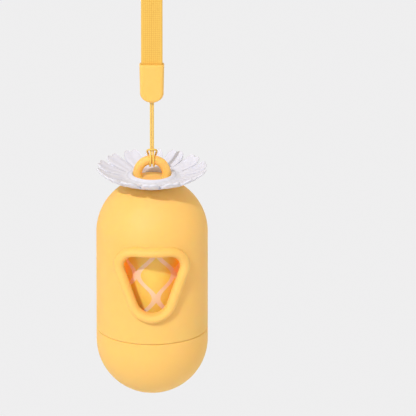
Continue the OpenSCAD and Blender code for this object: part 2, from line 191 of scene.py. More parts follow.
def add(material, kind, links={}, values={}, **settings):
    """Adds a node with its settings, input values and links, and returns it."""
    made = material.node_tree.nodes.new(kind)
    for key, value in settings.items():
        setattr(made, key, value)
    for key, value in values.items():
        made.inputs[key].default_value = value
    for key, source in links.items():
        material.node_tree.links.new(source, made.inputs[key])
    return made


def finish_of(name, **constants):
    """A new material and its shader, whose constant inputs are set directly."""
    material = bpy.data.materials.new(name)
    material.use_nodes = True
    shader = material.node_tree.nodes["Principled BSDF"]
    for key, value in constants.items():
        shader.inputs[key.replace("_", " ")].default_value = value
    return material, shader


cord_left = through(cord_route, 12)
cord_line, cord_along = evenly(np.vstack([cord_left, cord_left[-2::-1] * [-1, 1, 1]]), cord_step)
cord_line += [0, 0, LOOP_BAR_Z]
cord_side, cord_up = side_ways(cord_line, (0, 1, 0))


def cord_surface():
    """Tube along the cord. Its radius swells and dips as a cosine round the
    section, and the dips wind along it once every lay length, both ways."""
    a = np.linspace(0, 2 * np.pi, cord_sides, endpoint=False)[None, :]
    turn = 2 * np.pi * cord_along[:, None] / lay_length
    weave = np.cos(ply_count * (a - turn)) * np.cos(ply_count * (a + turn))
    r = cord_d / 2 * (1 - ply_depth + ply_depth * weave)
    points = cord_line[:, None] + r[..., None] * (
        np.cos(a)[..., None] * cord_side[:, None] + np.sin(a)[..., None] * cord_up[:, None])
    return grid(closed_ends(points), round_v=True)


# Braided polyester yarn: a silky thread with painted shade in the furrows between
# strands, about 0.6 mm apart
braid, braid_shader = finish_of("braided_polyester_cord", Roughness=0.62, Sheen_Weight=0.15, Sheen_Roughness=0.4)
braid_uv = add(braid, "ShaderNodeUVMap", uv_map="surface")
braid_wave = add(braid, "ShaderNodeTexWave", {"Vector": braid_uv.outputs["UV"]},
                 {"Scale": 1.1, "Distortion": 1.2, "Detail": 1}, bands_direction="DIAGONAL")
# Painted shade: the colour darkens with the wave, where the bump sinks into the furrows.
braid_painted_shade = add(braid, "ShaderNodeMix", {0: braid_wave.outputs["Fac"]},
                 {6: hex_colour("#EDBE4E"), 7: hex_colour("#F8D870")}, data_type="RGBA")
braid.node_tree.links.new(braid_painted_shade.outputs[2], braid_shader.inputs["Base Color"])
braid_bump = add(braid, "ShaderNodeBump", {"Height": braid_wave.outputs["Fac"]},
                 {"Strength": 0.4, "Distance": 0.00005})
braid.node_tree.links.new(braid_bump.outputs["Normal"], braid_shader.inputs["Normal"])

cord = piece("cord_strands", [cord_surface()], braid, "cord")
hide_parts("cord_loop")

# Wrist webbing
# Flat woven polyester, 8.5 mm wide, folded over into a loop. Both ends lie on
# each other in the cap, and the top is open round a finger.
CAP_TOP_Z = CAP_Z + 15.8
web_w = 8.5
web_t = 1.0
web_in_cap = 8.5
ply_gap = 0.05
ply_middle = ply_gap + web_t / 2
finger_r = 6
bend_r = finger_r + web_t / 2
bend_z = CAPSULE_MIDDLE - finger_r
weave_pitch = 0.8
weave_depth = 0.11
web_columns = 39
selvedge_x = 3.2
selvedge_pitch = 0.5

# Side view of the loop: up the front, round the bend and down the back
leg_h = bend_z - CAP_TOP_Z
lean = math.asin((finger_r + web_t) / math.hypot(ply_gap + web_t, leg_h)) - math.atan2(ply_gap + web_t, leg_h)
round_bend = np.linspace(math.pi + lean, -lean, 60)
web_side_view = np.vstack([
    [[-ply_middle, CAP_TOP_Z - web_in_cap], [-ply_middle, CAP_TOP_Z]],
    np.stack([bend_r * np.cos(round_bend), bend_z + bend_r * np.sin(round_bend)], 1),
    [[ply_middle, CAP_TOP_Z], [ply_middle, CAP_TOP_Z - web_in_cap]]])
web_line, web_along = evenly(
    np.column_stack([np.zeros(len(web_side_view)), web_side_view]), weave_pitch / 4)


def webbing_surface():
    """Band along its line: across it, a flat section with round edges. On the
    outside the threads cross as a product of two sines, one along and one
    across, and the three edge cords on each side stand a little proud."""
    flat = web_w / 2 - web_t / 2
    out = np.linspace(-flat, flat, web_columns)
    back = len(out[::-2])
    edge = np.linspace(90, -90, 6)[1:-1] * np.pi / 180
    x = np.concatenate([out, flat + web_t / 2 * np.cos(edge), out[::-2], -flat - web_t / 2 * np.cos(edge)])
    t = np.concatenate([np.ones(web_columns), np.sin(edge), -np.ones(back), -np.sin(edge)]) * web_t / 2
    on_face = np.concatenate([np.ones(web_columns), np.zeros(back + 2 * len(edge))])
    cell = np.abs(np.sin(np.pi * x[None, :] / weave_pitch) * np.sin(np.pi * web_along[:, None] / weave_pitch))
    selvedge = np.clip((np.abs(x) - selvedge_x) / 0.3, 0, 1)[None, :]
    edge_cords = 0.6 + 0.2 * np.cos(2 * np.pi * x / selvedge_pitch)[None, :]
    height = (1 - selvedge) * np.sqrt(cell) + selvedge * edge_cords
    ahead = np.gradient(web_line, axis=0)
    ahead /= np.linalg.norm(ahead, axis=1)[:, None]
    out_way = np.cross([1.0, 0, 0], ahead)
    if out_way[5, 1] > 0:
        out_way = -out_way
    lift = t[None, :] - weave_depth * (1 - height) * on_face[None, :]
    points = web_line[:, None] + x[None, :, None] * np.array([1.0, 0, 0]) + lift[..., None] * out_way[:, None]
    # The relief sets the weave's painted shade: low between the threads, and a middle value on the back and the
    # edges.
    relief = np.where(on_face[None, :] > 0, height, 0.7)
    rings = np.concatenate([relief[:1], relief, relief[-1:]])
    return grid(closed_ends(points), round_v=True), rings


# Woven polyester webbing: soft, with painted shade that darkens the little gaps
# between the threads. Its fibres are drawn 0.3 mm wide, coarser than they are, so that they show.
woven, woven_shader = finish_of("woven_polyester_webbing", Roughness=0.75, Sheen_Weight=0.2, Sheen_Roughness=0.5)
woven_relief = add(woven, "ShaderNodeAttribute", attribute_name="relief")
# Painted shade: the lower the threads lie, the darker their colour, so the gaps between them look shaded.
woven_painted_shade = add(woven, "ShaderNodeValToRGB", {"Fac": woven_relief.outputs["Fac"]})
woven_painted_shade.color_ramp.elements[0].color = hex_colour("#CF8E20")
woven_painted_shade.color_ramp.elements[1].position = 0.75
woven_painted_shade.color_ramp.elements[1].color = hex_colour("#F5D066")
woven_uv = add(woven, "ShaderNodeUVMap", uv_map="surface")
woven_fibre = add(woven, "ShaderNodeTexNoise", {"Vector": woven_uv.outputs["UV"]}, {"Scale": 3.5, "Detail": 3})
woven_colour = add(woven, "ShaderNodeMix", {0: woven_fibre.outputs["Fac"], 6: woven_painted_shade.outputs["Color"]},
                   {7: hex_colour("#EFBE52")}, data_type="RGBA")
woven.node_tree.links.new(woven_colour.outputs[2], woven_shader.inputs["Base Color"])
woven_bump = add(woven, "ShaderNodeBump", {"Height": woven_fibre.outputs["Fac"]},
                 {"Strength": 0.5, "Distance": 0.00006})
woven.node_tree.links.new(woven_bump.outputs["Normal"], woven_shader.inputs["Normal"])

web_surface, web_relief = webbing_surface()
webbing = piece("webbing_loop", [web_surface], woven, "wrist_strap", relief=web_relief)
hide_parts("wrist_webbing")

# Bartack
# Three rows of zigzag stitching on each side join the two ends of the
# webbing, inside the cap. Polyester thread, 0.2 mm thick.
thread_d = 0.2
stitch_rows = (1.6, 3.4, 5.2)
stitch_turns = 33
stitch_w = 5.3
stitch_h = 0.56
stitch_edge = 0.12


def stitch_row(side, row):
    """Zigzag tube: across the webbing at an even pace, while the height goes
    up and down between the edges of the row as a triangle wave."""
    k = np.arange(stitch_turns)
    turns = np.column_stack([
        stitch_w * (k / (stitch_turns - 1) - 0.5),
        np.full(stitch_turns, side * (ply_gap + web_t + thread_d / 2)),
        CAP_TOP_Z - row + stitch_edge + stitch_h * (k % 2)])
    line, along = evenly(through(turns, 3), 0.06)
    a, b = side_ways(line, (0, 1, 0))
    angle = np.linspace(0, 2 * np.pi, 7, endpoint=False)
    ring = np.cos(angle)[None, :, None] * a[:, None] + np.sin(angle)[None, :, None] * b[:, None]
    return grid(closed_ends(line[:, None] + thread_d / 2 * ring), round_v=True)


# Sewing thread: the webbing's yellow, a little shinier than the weave, with painted
# shade in stripes along a twist of 0.25 mm
thread, thread_shader = finish_of("polyester_sewing_thread", Roughness=0.5, Sheen_Weight=0.2)
thread_uv = add(thread, "ShaderNodeUVMap", uv_map="surface")
thread_twist = add(thread, "ShaderNodeTexWave", {"Vector": thread_uv.outputs["UV"]}, {"Scale": 2.5},
                   bands_direction="DIAGONAL")
# Painted shade: darker stripes where the twist's grooves would lie in shade.
thread_painted_shade = add(thread, "ShaderNodeMix", {0: thread_twist.outputs["Fac"]},
                  {6: hex_colour("#E9B64C"), 7: hex_colour("#FFDC86")}, data_type="RGBA")
thread.node_tree.links.new(thread_painted_shade.outputs[2], thread_shader.inputs["Base Color"])

bartack = piece("bartack_stitches", [stitch_row(side, row) for side in (-1, 1) for row in stitch_rows],
                thread, "wrist_strap")
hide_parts("webbing_bartack")

# Cord knot
# The two ends of the cord are knotted together in the cap, so that they can't
# slip out of its mouth.
KNOT_Z = CAP_Z + 4.4
knot_size = 0.37
knot_rise = 0.34
knot_cord_r = 0.38
mouth_top = 0.9
strand_x = 0.42


def knot_surface():
    """Tube along a trefoil: the sum of a circle and a circle of half its
    radius turned the other way at twice the pace, waving three times up and
    down on the way round."""
    t = np.linspace(0, 2 * np.pi, 120, endpoint=False)
    line = np.column_stack([knot_size * (np.sin(t) + 2 * np.sin(2 * t)),
                            knot_size * (np.cos(t) - 2 * np.cos(2 * t)),
                            KNOT_Z - knot_rise * np.sin(3 * t)])
    ahead = np.roll(line, -1, 0) - np.roll(line, 1, 0)
    ahead /= np.linalg.norm(ahead, axis=1)[:, None]
    a = np.cross(ahead, [0, 0, 1.0])
    a /= np.linalg.norm(a, axis=1)[:, None]
    b = np.cross(ahead, a)
    angle = np.linspace(0, 2 * np.pi, 14, endpoint=False)
    ring = np.cos(angle)[None, :, None] * a[:, None] + np.sin(angle)[None, :, None] * b[:, None]
    return grid(line[:, None] + knot_cord_r * ring, round_u=True, round_v=True)


def knot_tail(side):
    """Straight tube from the knot down to the mouth of the cap."""
    z = np.linspace(CAP_Z + mouth_top + 0.02, KNOT_Z - 0.2, 12)
    angle = np.linspace(0, 2 * np.pi, 14, endpoint=False)
    x = side * strand_x + cord_d / 2 * np.cos(angle)
    y = cord_d / 2 * np.sin(angle)
    rings = np.stack(np.broadcast_arrays(x[None, :], y[None, :], z[:, None]), -1)
    return grid(closed_ends(rings), round_v=True)


knot = piece("cord_end_knot", [knot_surface(), knot_tail(-1), knot_tail(1)], braid, "wrist_strap")
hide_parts("cord_knot")

# Strap cap
# Two halves moulded in ABS, pegged together round the ends of the webbing and
# the knot. The webbing leaves at the flat top, the cord at the round bottom.
cap_w = 9.8
cap_low_w = 9.3
cap_t = 4.6
cap_h = CAP_TOP_Z - CAP_Z
cap_round_h = 3.9
cap_edge = 0.45
cap_corner_r = 1.5
cap_low_edge = 1.1
cap_low_edge_h = 1.5
cap_low_round = 0.9985
mouth_r = 1.25
hole_top = 3.65
cord_hole_r = 0.95
knot_room_top = 7.0
knot_room_r = 1.7
slot_w = 8.7
slot_t = 2.7
slot_reach = 1.31
step_up = 0.02


def cap_outline(z):
    """Half width and half thickness of the cap at height z: straight sides
    that widen a little upwards, an elliptic bottom, and rounded edges."""
    up = np.clip((z - CAP_Z - cap_round_h) / (cap_h - cap_round_h), 0, 1)
    low = np.clip((CAP_Z + cap_round_h - z) / cap_round_h, 0, 1)
    top_edge = cap_edge * (1 - np.sqrt(1 - np.clip((z - CAP_TOP_Z + cap_edge) / cap_edge, 0, 1) ** 2))
    bottom_edge = cap_low_edge * (1 - np.sqrt(1 - np.clip(1 - (z - CAP_Z) / cap_low_edge_h, 0, 1) ** 2))
    a = (cap_low_w + (cap_w - cap_low_w) * up) / 2 * np.sqrt(1 - cap_low_round * low ** 2) - top_edge
    return a, cap_t / 2 - top_edge - bottom_edge


def cap_half(side):
    """Closed shell of one half. At each height its section runs round a
    rectangle with round corners on the outside, and back along the hole for
    the cord, the room for the knot or the slot for the webbing."""
    steps = np.array([mouth_top, hole_top, knot_room_top])
    bottom = 0.2 + (cap_round_h - 0.2) * (1 - np.cos(np.linspace(0, np.pi / 2, 26)))
    sides = np.linspace(cap_round_h + 0.3, cap_h - cap_edge, 34)
    rim = cap_h - cap_edge * (1 - np.sin(np.linspace(0, np.pi / 2, 9)[1:]))
    z = CAP_Z + np.unique(np.concatenate([bottom, sides, rim, steps, steps + step_up]))
    a, b = cap_outline(z)
    corner = np.minimum(cap_corner_r, 0.75 * np.minimum(a, b))
    turn = np.linspace(0, np.pi / 2, 11)[None, :]
    corner_line = np.stack([(a - corner)[:, None] + corner[:, None] * np.cos(turn),
                            (b - corner)[:, None] + corner[:, None] * np.sin(turn)], -1)
    side_line = np.stack([np.broadcast_to(a[:, None], (len(z), 3)),
                          (b - corner)[:, None] * np.linspace(0, 1, 4)[None, :3]], -1)
    front = np.stack([(a - corner)[:, None] * np.linspace(1, -1, 20)[None, 1:-1],
                      np.broadcast_to(b[:, None], (len(z), 18))], -1)
    half = np.concatenate([side_line, corner_line], 1)
    outer = np.concatenate([half, front, (half * [-1, 1])[:, ::-1]], 1)
    count = outer.shape[1]
    up = z - CAP_Z
    bore = np.where(up <= mouth_top, mouth_r, np.where(up <= hole_top, cord_hole_r, knot_room_r))
    round_way = np.linspace(0, np.pi, count)[None, :]
    hole = np.stack([bore[:, None] * np.cos(round_way), bore[:, None] * np.sin(round_way)], -1)
    way = np.linspace(-slot_reach, slot_reach, count)
    slot = np.stack([-slot_w / 2 * np.clip(way, -1, 1),
                     slot_t / 2 * np.clip((slot_reach - np.abs(way)) / (slot_reach - 1), 0, 1)], -1)
    inner = np.where((up > knot_room_top)[:, None, None], slot[None], hole)
    loop = np.concatenate([outer, inner[:, ::-1]], 1)
    loop[..., 1] *= side
    rings = np.concatenate([loop, np.broadcast_to(z[:, None, None], (*loop.shape[:2], 1))], 2)
    middle = (rings[:, :count] + rings[:, count:][:, ::-1]) / 2
    ends = np.concatenate([middle, middle[:, ::-1]], 1)
    return grid(np.concatenate([ends[:1], rings, ends[-1:]]), round_v=True)


def moulded(material, shader, clouds, colours, grain=None, bump=None):
    """Gives a moulded surface two like colours in soft clouds, and where it
    has a grain, the bumps of it."""
    place = add(material, "ShaderNodeTexCoord").outputs["Object"]
    cloud = add(material, "ShaderNodeTexNoise", {"Vector": place}, clouds)
    tint = add(material, "ShaderNodeMix", {0: cloud.outputs["Fac"]},
               {6: hex_colour(colours[0]), 7: hex_colour(colours[1])}, data_type="RGBA")
    material.node_tree.links.new(tint.outputs[2], shader.inputs["Base Color"])
    if grain:
        fine = add(material, "ShaderNodeTexNoise", {"Vector": place}, grain)
        bumps = add(material, "ShaderNodeBump", {"Height": fine.outputs["Fac"]}, bump)
        material.node_tree.links.new(bumps.outputs["Normal"], shader.inputs["Normal"])


# Moulded ABS, satin: clean edges, a thin shine and a faint grain. The grain is
# drawn 0.25 mm wide, coarser than it is, so that it shows.
cap_plastic, cap_shader = finish_of("moulded_satin_abs", Roughness=0.42, IOR=1.53, Subsurface_Weight=0.15,
                                    Subsurface_Radius=(1.0, 0.5, 0.15), Subsurface_Scale=0.0015)
moulded(cap_plastic, cap_shader, {"Scale": 160, "Detail": 3}, ("#FDC860", "#FFCD6B"),
        {"Scale": 4000, "Detail": 2}, {"Strength": 0.25, "Distance": 0.00003})

cap_front = piece("cap_front_half", [cap_half(-1)], cap_plastic, "wrist_strap", sharp=40)
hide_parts("strap_cap_front")
cap_back = piece("cap_back_half", [cap_half(1)], cap_plastic, "wrist_strap", sharp=40)
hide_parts("strap_cap_back")

# Upper shell
# The long moulding of the capsule: a tube with a round top, the window cut in
# its front, a thick seat for the hanger, and a step inside for the plug.
SHELL_R = 22.0
WALL = 2.6
DOME_Z = 22.25
SEAM_Z = -17.35
PLUG_TOP_Z = -9.35
PLUG_R = 20.7
SEAT_Z = 42.6
PAD_T = 3.0
BORE_R = SHELL_R - WALL
window_up = 7.3
window_w = 22.0
window_h = 24.0
window_top_r = 4.7
window_bottom_r = 6.2
lip_tail = 1.2


def turned(profile, steps):
    """Surface of revolution of a profile of radius and height."""
    a = np.linspace(0, 2 * np.pi, steps, endpoint=False)[None, :]
    r, z = profile[:, :1], profile[:, 1:]
    return np.stack(np.broadcast_arrays(r * np.sin(a), -r * np.cos(a), z + 0 * a), -1)


def run(p, q, count):
    """Evenly spaced points from p to q, without q."""
    return np.linspace(p, q, count, endpoint=False)


def arc(middle, r, start, end, count):
    """Points of a circular arc in the profile, from one angle to another."""
    a = np.radians(np.linspace(start, end, count))
    return np.stack([middle[0] + r * np.cos(a), middle[1] + r * np.sin(a)], 1)


seat_angle = math.degrees(math.asin((SEAT_Z - DOME_Z) / SHELL_R))
pad_angle = math.degrees(math.asin((SEAT_Z - PAD_T - DOME_Z) / BORE_R))
seam_edge = 0.3
shell_profile = np.vstack([
    run((0, SEAT_Z), (SHELL_R * math.cos(math.radians(seat_angle)), SEAT_Z), 10),
    arc((0, DOME_Z), SHELL_R, seat_angle, 0, 60),
    run((SHELL_R, DOME_Z - 0.6), (SHELL_R, SEAM_Z + seam_edge), 60),
    arc((SHELL_R - seam_edge, SEAM_Z + seam_edge), seam_edge, 0, -90, 6),
    run((PLUG_R + 0.3, SEAM_Z), (PLUG_R, SEAM_Z), 2),
    run((PLUG_R, SEAM_Z), (PLUG_R, PLUG_TOP_Z), 12),
    run((PLUG_R, PLUG_TOP_Z), (BORE_R, PLUG_TOP_Z), 3),
    run((BORE_R, PLUG_TOP_Z), (BORE_R, DOME_Z), 48),
    arc((0, DOME_Z), BORE_R, 0, pad_angle, 40),
    run((BORE_R * math.cos(math.radians(pad_angle)), SEAT_Z - PAD_T), (0, SEAT_Z - PAD_T), 8)[1:],
    [(0, SEAT_Z - PAD_T)]])

# The window's outline, as corner middle, radius and outward direction
corner_x = window_w / 2 - window_top_r
corner_z = window_h / 2 - window_top_r
low_z = window_bottom_r - window_h / 2
side_run = math.hypot(corner_x, corner_z - low_z)
side_angle = math.asin((window_bottom_r - window_top_r) / side_run) - math.atan2(corner_x, corner_z - low_z)


def window_outline(corner_steps, side_steps):
    """Outline of the window: three arcs, and between them the straight sides,
    on which the corner middle slides from one corner to the next."""
    stops = [((corner_x, corner_z), window_top_r, side_angle, math.pi / 2),
             ((-corner_x, corner_z), window_top_r, math.pi / 2, math.pi - side_angle),
             ((0, low_z), window_bottom_r, math.pi - side_angle, 2 * math.pi + side_angle)]
    middles, radii, ways = [], [], []
    for k, (middle, r, start, end) in enumerate(stops):
        a = np.linspace(start, end, corner_steps)
        after, after_r = stops[(k + 1) % 3][0], stops[(k + 1) % 3][1]
        slide = np.linspace(0, 1, side_steps + 2)[1:-1, None]
        middles += [np.broadcast_to(middle, (corner_steps, 2)), (1 - slide) * middle + slide * np.array(after)]
        radii += [np.full(corner_steps, r), ((1 - slide) * r + slide * after_r)[:, 0]]
        ways += [np.stack([np.cos(a), np.sin(a)], 1),
                 np.broadcast_to([math.cos(end), math.sin(end)], (side_steps, 2))]
    return np.vstack(middles), np.concatenate(radii), np.vstack(ways)


def cut_out(made, cutters):
    """Subtracts closed surfaces from a piece, and keeps the result as its
    mesh."""
    tool = piece("cutter", cutters, made.data.materials[0], "holder")
    cut = made.modifiers.new("cut", "BOOLEAN")
    cut.object = tool
    cut.solver = "EXACT"
    done = bpy.data.meshes.new_from_object(made.evaluated_get(bpy.context.evaluated_depsgraph_get()))
    made.modifiers.clear()
    made.data = done
    bpy.data.objects.remove(tool, do_unlink=True)
    made.data.shade_smooth()
    made.data.set_sharp_from_angle(angle=math.radians(40))


hole_middle, hole_r, hole_way = window_outline(16, 8)
hole_view = hole_middle + (hole_r[:, None] + lip_tail) * hole_way
cutter_front = -SHELL_R - 2
cutter_back = -8.0
window_cutter = grid(closed_ends(np.stack([
    np.column_stack([hole_view[:, 0], np.full(len(hole_view), y), hole_view[:, 1] + window_up])
    for y in (cutter_front, cutter_back)])), round_v=True)
spigot_hole_w = 5.5
corners = np.array([(-1, -1), (1, -1), (1, 1), (-1, 1)]) * spigot_hole_w / 2
spigot_cutter = grid(closed_ends(np.stack([
    np.column_stack([corners, np.full(4, z)]) for z in (SEAT_Z - PAD_T - 1, SEAT_Z + 1)])), round_v=True)

# Soft-touch moulded plastic: a warm yellow with a silky sheen, through which
# a little light spreads, so that its shadows glow orange at their edges. Its
# grain is drawn 0.3 mm wide, coarser than it is, over clouds of 14 mm.
soft_touch, soft_shader = finish_of("soft_touch_moulded_plastic", Roughness=0.58, IOR=1.49, Specular_IOR_Level=0.55,
                                    Subsurface_Weight=0.4, Subsurface_Radius=(1.0, 0.3, 0.06),
                                    Subsurface_Scale=0.002)
moulded(soft_touch, soft_shader, {"Scale": 70, "Detail": 4, "Roughness": 0.6}, ("#FFC869", "#FFCC74"),
        {"Scale": 3200, "Detail": 2}, {"Strength": 0.25, "Distance": 0.00004})

shell = piece("capsule_shell", [grid(turned(shell_profile, 240), round_v=True)], soft_touch, "holder",
              sharp=40)
cut_out(shell, [window_cutter, spigot_cutter])
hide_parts("upper_shell")

# Window lip
# Thick soft rubber bead, moulded separately and pressed into the window: its
# tail lines the hole, and the bead keeps the bag's edge from tearing.
lip_w = 3.7
lip_h = 2.5


def lip_surface():
    """The section is carried round the window's outline. Outside the shell it
    stands square to the surface, and inside it runs straight in."""
    middle, r, way = window_outline(36, 18)
    knots = np.array([
        (0.25, -2.45, 0), (0.05, -2.2, 0), (0, -1.2, 0), (0, 0, 0), (0.03, 0.7, 0), (0.25, 1.5, 0), (0.75, 2.2, 0),
        (1.5, lip_h, 0), (2.2, 2.4, 0), (2.8, 2.0, 0), (3.2, 1.4, 0), (3.5, 0.65, 0), (lip_w, 0.05, 0),
        (3.6, -0.1, 0), (2.4, -0.1, 0), (1.25, -0.12, 0), (1.18, -1.3, 0), (1.1, -2.4, 0), (0.7, -2.6, 0)])
    section = through(np.vstack([knots, knots[:1]]), 4)[:-1]
    u, h = section[None, :, 0], section[None, :, 1]
    x = middle[:, :1] + (r[:, None] + u) * way[:, :1]
    z = middle[:, 1:] + (r[:, None] + u) * way[:, 1:] + window_up
    y = -np.sqrt(SHELL_R ** 2 - x ** 2)
    k = 1 + np.maximum(h, 0) / SHELL_R
    return grid(np.stack([x * k, y * k - np.minimum(h, 0), z], -1), round_u=True, round_v=True)


# Moulded thermoplastic rubber: the yellow of the shell, matt, and soft enough
# to let light spread under its surface. Its grain is drawn 0.4 mm wide.
lip_rubber, lip_shader = finish_of("moulded_thermoplastic_rubber", Roughness=0.55, Specular_IOR_Level=0.3,
                                   Subsurface_Weight=0.35, Subsurface_Radius=(1.0, 0.4, 0.1),
                                   Subsurface_Scale=0.0015)
moulded(lip_rubber, lip_shader, {"Scale": 110, "Detail": 3}, ("#FFC869", "#FFCC74"),
        {"Scale": 2600, "Detail": 2}, {"Strength": 0.2, "Distance": 0.00004})

lip = piece("window_bead", [lip_surface()], lip_rubber, "holder")
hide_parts("window_lip")

# Hanger
# Half ring on a round foot, moulded in one. A square spigot under the foot
# keeps it from turning in the shell, and a screw pulls it down.
bar_r = 1.8
arch_r = 5.7
ARCH_Z = LOOP_BAR_Z - arch_r
FOOT_Z = SEAT_Z + 0.6
foot_r = 7.4
foot_top = 45.1
foot_round = 50.0
neck_r = 5.2
spigot_w = 5.4
spigot_bore_r = 1.32
spigot_short = 0.2
foot_edge = 0.3
fillet = 0.5
fillet_h = 0.35
fillet_z = 44.85


def hanger_arch():
    """Round bar along two uprights and a half circle. It swells towards the
    foot as a falling exponential, like a moulded fillet."""
    up = np.column_stack([np.full(24, -arch_r), np.zeros(24), np.linspace(FOOT_Z + 0.3, ARCH_Z, 24, endpoint=False)])
    a = np.linspace(np.pi, 0, 72)
    over = np.column_stack([arch_r * np.cos(a), np.zeros(72), ARCH_Z + arch_r * np.sin(a)])
    line = np.vstack([up, over, (up * [-1, 1, 1])[::-1]])
    ahead = np.gradient(line, axis=0)
    ahead /= np.linalg.norm(ahead, axis=1)[:, None]
    out = np.cross(ahead, [0, 1.0, 0])
    r = bar_r + fillet * np.exp(-np.maximum(line[:, 2] - fillet_z, 0) / fillet_h)
    a = np.linspace(0, 2 * np.pi, 40, endpoint=False)
    ring = np.cos(a)[None, :, None] * out[:, None] + np.sin(a)[None, :, None] * np.array([0, 1.0, 0])
    return grid(closed_ends(line[:, None] + r[:, None, None] * ring), round_v=True)


def hanger_foot():
    """Turned disc with a slightly domed top, on the neck under it."""
    rim_z = foot_top - foot_round + math.sqrt(foot_round ** 2 - foot_r ** 2)
    dome = np.linspace(0, foot_r - foot_edge, 20)
    profile = np.vstack([
        np.column_stack([dome, foot_top - foot_round + np.sqrt(foot_round ** 2 - dome ** 2)]),
        arc((foot_r - foot_edge, rim_z - 0.28), foot_edge, 80, 0, 6),
        run((foot_r, rim_z - 0.35), (foot_r, FOOT_Z), 4),
        run((foot_r, FOOT_Z), (neck_r, FOOT_Z), 4), run((neck_r, FOOT_Z), (neck_r, SEAT_Z), 3),
        run((neck_r, SEAT_Z), (0, SEAT_Z), 6), [(0, SEAT_Z)]])
    return grid(turned(profile, 96), round_v=True)


def hanger_spigot():
    """Square peg with a round hole: at each angle the section is a rectangle
    from the hole out to the side of the square."""
    a = np.linspace(0, 2 * np.pi, 96, endpoint=False)
    square = spigot_w / 2 / np.maximum(np.abs(np.cos(a)), np.abs(np.sin(a)))
    top, bottom = SEAT_Z - 0.01, SEAT_Z - PAD_T + spigot_short
    r = np.stack([square, square, np.full(96, spigot_bore_r), np.full(96, spigot_bore_r)], 1)
    z = np.broadcast_to([top, bottom, bottom, top], (96, 4))
    return grid(np.stack([r * np.cos(a)[:, None], r * np.sin(a)[:, None], z], -1), round_u=True, round_v=True)


hanger = piece("hanging_loop", [hanger_arch(), hanger_foot(), hanger_spigot()], soft_touch, "holder",
               sharp=45)
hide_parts("hanger")

# Washer and screw
# They hold the hanger from inside the shell, and are bought parts, so the
# model's own solids stay and get their metal.

# Zinc-plated steel: bluish grey, bright, with turning marks drawn 0.35 mm
# apart, coarser than they are
zinc, zinc_shader = finish_of("zinc_plated_steel", Metallic=1.0, Roughness=0.3)
zinc_place = add(zinc, "ShaderNodeTexCoord")
zinc_turning = add(zinc, "ShaderNodeTexWave", {"Vector": zinc_place.outputs["Object"]},
                   {"Scale": 900, "Distortion": 0.4}, wave_type="RINGS", rings_direction="Z")
zinc_tint = add(zinc, "ShaderNodeMix", {0: zinc_turning.outputs["Fac"]},
                {6: hex_colour("#AEB2B6"), 7: hex_colour("#C4C7CA")}, data_type="RGBA")
zinc.node_tree.links.new(zinc_tint.outputs[2], zinc_shader.inputs["Base Color"])
for name in ("hanger_washer", "hanger_screw"):
    frame["nodes"][name].data.materials.clear()
    frame["nodes"][name].data.materials.append(zinc)

# Flower collar
# One moulding of white silicone, clipped round the foot of the hanger, where
# it can turn: a thick hub, and fourteen thin petals with notched ends.
petals = 14
petal_r = 21.9
petal_gap_r = 13.0
petal_root_r = 9.6
petal_t = 0.8
petal_fold = 0.16
petal_slope = 0.344
petal_taper = 0.09
petal_side = 0.86
curl = 0.038
curl_r = 16
swell = 0.17
swell_r = 12
notch_deep = 0.6
notch_w = 0.34
hub_r = 7.6
hub_out_r = 10.2
hub_top_z = 46.65
flange_r = neck_r + 0.08
bead_r = 0.62
hub_free = 0.03
flat_r = math.sqrt(SHELL_R ** 2 - (SEAT_Z - DOME_Z) ** 2)
flower_turn = -2


def under_petal(r):
    """Height of the petals' underside: a straight rise from the dome, with a
    parabolic curl towards the tips."""
    return SEAT_Z + petal_slope * (r - flat_r) + curl * np.maximum(r - curl_r, 0) ** 2


def petal_surface():
    """All petals in one band round the hub. Across a petal, t runs from one
    edge to the other, and its reach falls off as a fourth power of t, with a
    notch in the middle. Along it, the section runs out on top, round the
    edge, and back underneath."""
    t = np.concatenate([np.linspace(-1, -petal_side, 5)[:-1], np.linspace(-petal_side, petal_side, 33),
                        np.linspace(petal_side, 1, 5)[1:-1]])
    t = np.sign(t) * np.abs(t) ** 0.9
    reach = petal_gap_r + (petal_r - petal_gap_r) * (1 - t ** 4) ** 0.55
    reach -= notch_deep * np.maximum(0, 1 - np.abs(t) / notch_w) ** 1.5
    v = np.linspace(0, 1, 26) ** 0.8
    edge = np.linspace(90, -90, 9)[1:-1] * np.pi / 180
    v_loop = np.concatenate([v, np.ones(len(edge)), v[::-1]])[None, :]
    side = np.concatenate([np.ones(26), (1 + np.sin(edge)) / 2, np.zeros(26)])[None, :]
    bulge = np.concatenate([np.zeros(26), np.cos(edge), np.zeros(26)])[None, :]
    r = petal_root_r + (reach[:, None] - petal_root_r) * v_loop
    thick = petal_t + petal_taper * (petal_r - r) + swell * np.maximum(swell_r - r, 0) ** 2
    inset = (1 - bulge) * 0.5 * thick * np.maximum(0, v_loop - 0.96) / 0.04
    across = (0.5 - 0.5 * np.cos(2 * np.pi * t) - t ** 4)[:, None]
    fold = petal_fold * across * (0.4 + 0.6 * np.minimum(1, 2 * v_loop))
    z = under_petal(r) + side * thick + fold * (0.6 + 0.4 * side)
    r = r - np.minimum(inset, 0.4)
    way = (np.arange(petals)[:, None] + (t + 1) / 2) * 2 * np.pi / petals
    way = way.reshape(petals, -1, 1) + math.radians(flower_turn - 90 - 180 / petals)
    points = np.stack(np.broadcast_arrays(r * np.cos(way), r * np.sin(way), z + 0 * way), -1)
    return grid(points.reshape(-1, *points.shape[2:]), round_u=True, round_v=True)


